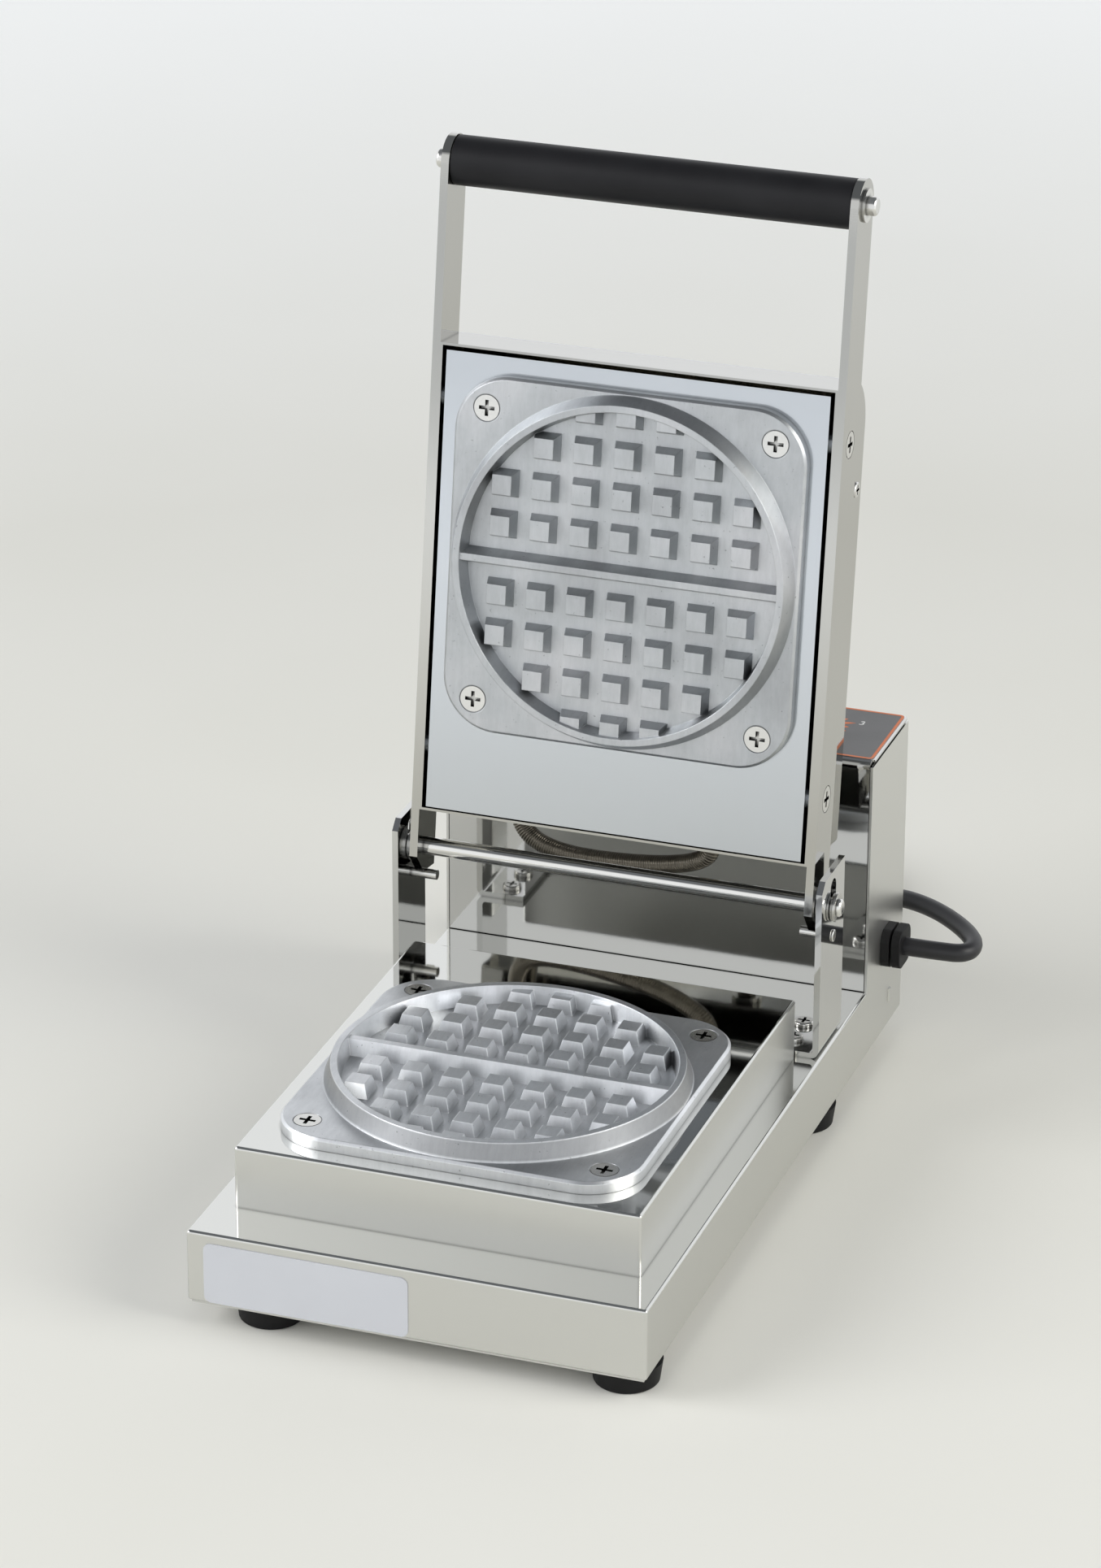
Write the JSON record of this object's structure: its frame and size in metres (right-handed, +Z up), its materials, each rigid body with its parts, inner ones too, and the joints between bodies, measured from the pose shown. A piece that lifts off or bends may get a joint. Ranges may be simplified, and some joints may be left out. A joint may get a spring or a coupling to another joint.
{
  "type": "round waffle maker",
  "caption": "Countertop electric waffle maker in folded stainless sheet: round cast moulds, a lid on two bar arms with a floating hinge rod, a bar grip and a control box at the back.",
  "frame": {"origin": "on the floor under the middle of the base, measured without the cord", "axes": "+X to the right and -Y to the front, as an operator faces it, +Z up; the lid is stored open"},
  "size_m": [0.2854, 0.5827, 0.4688],
  "materials": {
    "polished_stainless": "mirror polished stainless sheet",
    "cast_aluminium": "cast and machined, faintly mottled",
    "steel_hardware": "plain steel",
    "black_plastic": "black moulding",
    "black_rubber": "black rubber",
    "printed_overlay": "dark grey film with orange print",
    "white_badge": "white, bare",
    "red_rocker": "red",
    "green_lamp": "translucent green",
    "orange_lamp": "translucent orange",
    "heater_sheath": "dull sheath",
    "mineral_wool": "felted pad",
    "phenolic_grip": "satin charcoal black",
    "brass_pins": "plain",
    "conduit_steel": "wound strip"
  },
  "bodies": {
    "base": {"chassis": "polished_stainless", "bottom_plate": "polished_stainless", "rubber_feet": "black_rubber", "base_screws": "steel_hardware", "base_nuts": "steel_hardware", "control_cover": "polished_stainless", "panel_overlay": "printed_overlay", "rear_cover": "polished_stainless", "rear_cover_screws": "steel_hardware", "front_badge": "white_badge", "timer_body": "black_plastic", "thermostat_body": "black_plastic", "switch_housing": "black_plastic", "power_lamp": "green_lamp", "heating_lamp": "orange_lamp", "terminal_strip": "black_plastic", "hinge_bracket_right": "polished_stainless", "hinge_bracket_left": "polished_stainless", "stop_pins": "steel_hardware", "lower_case": "polished_stainless", "lower_waffle_plate": "cast_aluminium", "lower_heater": "heater_sheath", "lower_heater_clamp": "steel_hardware", "lower_clamp_bolt": "steel_hardware", "thermal_cutout": "black_plastic", "lower_plate_screws": "steel_hardware", "lower_plate_nuts": "steel_hardware", "lower_insulation": "mineral_wool", "cord_bushing": "black_rubber", "power_cord": "black_rubber", "power_cord_coil": "black_rubber", "cord_tie": "black_plastic", "plug_lead": "black_rubber", "power_plug": "black_rubber", "plug_blades": "brass_pins", "conduit_elbow": "steel_hardware", "conduit": "conduit_steel"},
    "hinge_rod": {"hinge_rod": "polished_stainless", "spacer_washers": "steel_hardware", "rod_washers": "steel_hardware", "rod_clips": "steel_hardware"},
    "lid": {"lid_shell": "polished_stainless", "lid_face_plate": "polished_stainless", "upper_waffle_plate": "cast_aluminium", "upper_heater": "heater_sheath", "upper_heater_clamp": "steel_hardware", "upper_clamp_bolt": "steel_hardware", "lid_screws": "steel_hardware", "lid_nuts": "steel_hardware", "upper_insulation": "mineral_wool", "lid_side_screws": "steel_hardware", "arm_right": "polished_stainless", "arm_left": "polished_stainless", "handle_grip": "phenolic_grip", "handle_washers": "steel_hardware", "handle_bolts": "steel_hardware", "conduit_lid_gland": "steel_hardware"},
    "timer_knob": {"timer_knob": "black_plastic"},
    "thermostat_knob": {"thermostat_knob": "black_plastic"},
    "power_rocker": {"power_rocker": "red_rocker"}
  },
  "joints": [
    {"name": "hinge_float", "type": "slide", "parent": "base", "child": "hinge_rod", "axis": [0, 0, 1], "range_m": [0, 0.01], "deforming": ["conduit"]},
    {"name": "lid_hinge", "type": "hinge", "parent": "hinge_rod", "child": "lid", "pos_m": [0, 0.079, 0.1211], "axis": [1, 0, 0], "range_deg": [0, 98.1], "deforming": ["conduit"]},
    {"name": "timer_turn", "type": "hinge", "parent": "base", "child": "timer_knob", "pos_m": [0.0627, 0.1733, 0.178], "axis": [0, 0, -1], "range_deg": [0, 300]},
    {"name": "thermostat_turn", "type": "hinge", "parent": "base", "child": "thermostat_knob", "pos_m": [-0.0627, 0.1733, 0.178], "axis": [0, 0, -1], "range_deg": [0, 270]},
    {"name": "power_press", "type": "hinge", "parent": "base", "child": "power_rocker", "pos_m": [0, 0.1733, 0.1718], "axis": [1, 0, 0], "range_deg": [0, 16]}
  ]
}
